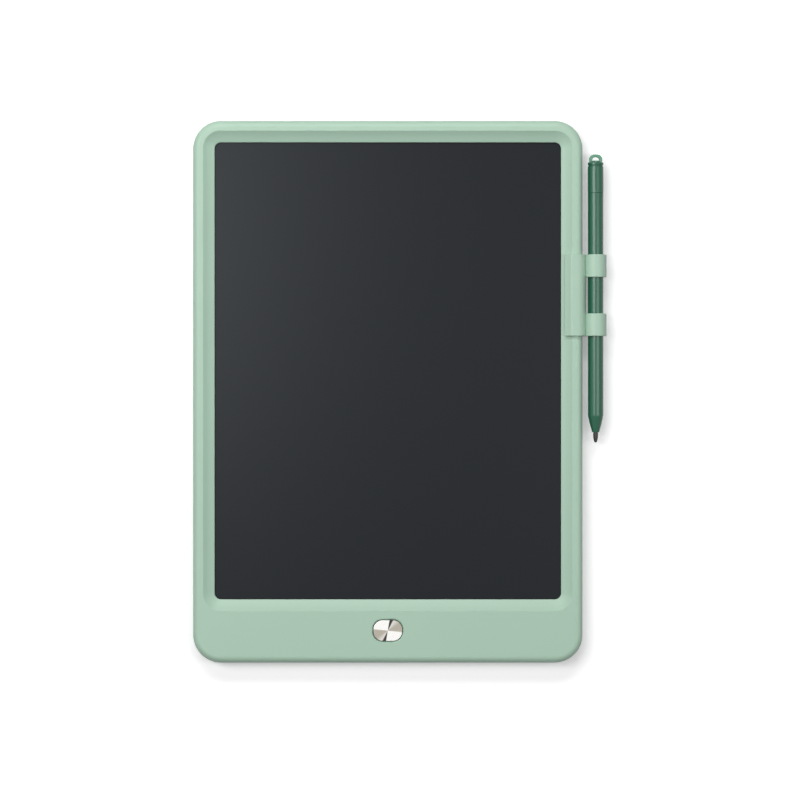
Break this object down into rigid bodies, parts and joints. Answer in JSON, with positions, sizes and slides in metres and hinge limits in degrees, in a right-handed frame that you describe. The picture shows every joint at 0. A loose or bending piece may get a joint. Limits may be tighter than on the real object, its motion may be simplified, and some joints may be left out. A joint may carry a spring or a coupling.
{
  "type": "drawing tablet",
  "caption": "Flat writing tablet with a dished frame round a dark film, an erase button in its chin and a pen held in a sliding edge clip.",
  "frame": {"origin": "centre of the flat back that the tablet rests on", "axes": "+X to the tablet's right, +Y to its top end, +Z out of the writing film"},
  "size_m": [0.1832, 0.24, 0.0121],
  "materials": {
    "sage_plastic": "satin moulded plastic, pale sage green",
    "writing_surface": "dark film with a soft sheen",
    "dark_plastic": "matt black plastic",
    "cream_plastic": "cream moulded plastic",
    "screw_steel": "plain steel",
    "spring_metal": "plated spring strip",
    "board_green": "circuit board with green lacquer",
    "tail_amber": "amber flexible film",
    "spun_metal": "spun in fine circles",
    "deep_green_plastic": "darker green plastic in the button's gap",
    "pen_green_plastic": "semi-gloss deep green plastic",
    "eye_green_plastic": "lighter green plastic",
    "nib_plastic": "hard dark brown plastic"
  },
  "bodies": {
    "tablet": {"front_frame": "sage_plastic", "back_cover": "sage_plastic", "housing_screw_1": "screw_steel", "housing_screw_2": "screw_steel", "housing_screw_3": "screw_steel", "housing_screw_4": "screw_steel", "housing_screw_5": "screw_steel", "housing_screw_6": "screw_steel", "board_screw_1": "screw_steel", "board_screw_2": "screw_steel", "screen_gasket": "dark_plastic", "writing_film": "writing_surface", "backing_sheet": "dark_plastic", "support_plate": "dark_plastic", "coin_cell": "screw_steel", "contact_negative": "spring_metal", "contact_positive": "spring_metal", "control_board": "board_green", "driver_chip": "dark_plastic", "boost_inductor": "dark_plastic", "capacitor_1": "cream_plastic", "capacitor_2": "cream_plastic", "tail_connector": "cream_plastic", "flex_tail": "tail_amber", "tact_switch": "dark_plastic", "lock_switch": "screw_steel"},
    "erase_button": {"erase_button": "spun_metal", "button_carrier": "deep_green_plastic", "tact_plunger": "cream_plastic"},
    "lock_slider": {"lock_slider": "dark_plastic", "lock_switch_lever": "dark_plastic"},
    "battery_door": {"battery_door": "sage_plastic", "battery_door_screw": "screw_steel"},
    "pen_clip": {"pen_clip": "sage_plastic"},
    "pen": {"pen_barrel": "pen_green_plastic", "pen_nib": "nib_plastic", "pen_end_cap": "pen_green_plastic", "pen_eye": "eye_green_plastic"}
  },
  "joints": [
    {"name": "erase_button_press", "type": "slide", "parent": "tablet", "child": "erase_button", "axis": [0, 0, -1], "range_m": [0, 0.00035], "stiffness_N_per_m": 2000, "springref_m": -0.0002},
    {"name": "erase_lock_slide", "type": "slide", "parent": "tablet", "child": "lock_slider", "axis": [1, 0, 0], "range_m": [0, 0.003]},
    {"name": "battery_door_open", "type": "hinge", "parent": "tablet", "child": "battery_door", "pos_m": [-0.0185, -0.1061, 0], "axis": [0, -1, 0], "range_deg": [0, 60]},
    {"name": "pen_clip_slide", "type": "slide", "parent": "tablet", "child": "pen_clip", "axis": [0, 1, 0], "range_m": [-0.112, 0.046]},
    {"name": "pen_draw", "type": "slide", "parent": "pen_clip", "child": "pen", "axis": [0, 1, 0], "range_m": [-0.082, 0.085]}
  ]
}
